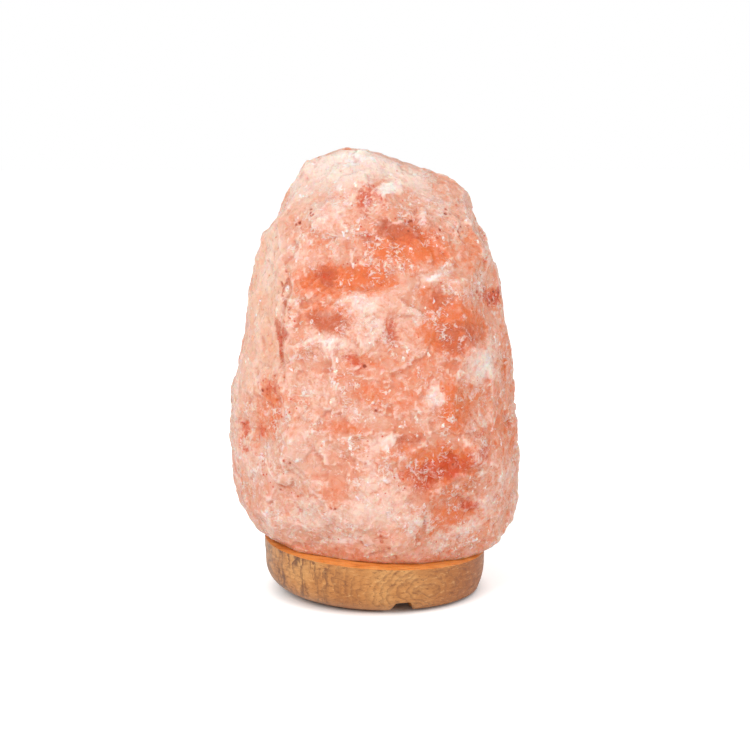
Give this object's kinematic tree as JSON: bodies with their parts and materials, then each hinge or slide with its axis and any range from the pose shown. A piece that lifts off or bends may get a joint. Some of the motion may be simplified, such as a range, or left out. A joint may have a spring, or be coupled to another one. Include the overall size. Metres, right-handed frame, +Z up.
{
  "type": "salt crystal lamp",
  "caption": "Table lamp of rough-hewn pink rock salt on a turned wooden base, with a small screw-cap bulb in a clip-in holder inside the drilled block.",
  "frame": {"origin": "on the table, in the middle of the lamp's box in plan, under the axis of the base, the holder and the bulb", "axes": "+Z up along the axis of the base and the bulb, -Y towards the viewer of the reference view, +X to that viewer's right; the cord groove leaves the base 15 degrees to the right of -Y"},
  "size_m": [0.1398, 0.1149, 0.211],
  "materials": {
    "salt": "satin",
    "wood": "satin",
    "zinc_steel": "satin",
    "spring_steel": "satin",
    "nylon": "matte",
    "foot_rubber": "matte",
    "holder_plastic": "satin",
    "gland_plastic": "matte",
    "steatite": "matte",
    "contact_brass": "satin",
    "cap_aluminium": "satin",
    "solder": "satin",
    "black_glass": "gloss",
    "bulb_clear_glass": "gloss",
    "filament_wire": "satin"
  },
  "bodies": {
    "lamp_holder": {"spring_clip": "spring_steel", "holder_cap": "holder_plastic", "holder_shell": "holder_plastic", "contact_block": "steatite", "thread_shell": "contact_brass", "centre_contact": "contact_brass", "terminal_posts": "contact_brass", "terminal_screws": "zinc_steel", "threaded_nipple": "zinc_steel", "lock_washer": "zinc_steel", "lock_nut": "zinc_steel", "cord_gland": "gland_plastic"},
    "lamp_body": {"salt_crystal": "salt", "wood_base": "wood", "base_screws": "zinc_steel", "screw_plugs": "nylon", "foot_pads": "foot_rubber"},
    "bulb_tip": {"bulb_contact": "solder"},
    "bulb": {"bulb_insulator": "black_glass", "bulb_cap": "cap_aluminium", "bulb_glass": "bulb_clear_glass", "bulb_stem": "bulb_clear_glass", "bulb_lead_wires": "filament_wire", "bulb_filament": "filament_wire"}
  },
  "joints": [
    {"name": "lamp_lift", "type": "slide", "parent": "lamp_holder", "child": "lamp_body", "axis": [0, 0, 1], "range_m": [0, 0.125]},
    {"name": "bulb_advance", "type": "slide", "parent": "lamp_holder", "child": "bulb_tip", "axis": [0, 0, 1], "range_m": [0, 0.01412]},
    {"name": "bulb_turn", "type": "hinge", "parent": "bulb_tip", "child": "bulb", "pos_m": [0, 0, 0], "axis": [0, 0, 1], "range_deg": [0, 1800]}
  ],
  "couplings": [
    {"joint": "bulb_advance", "follows": "bulb_turn", "m_per_rad": 0.00044913}
  ]
}
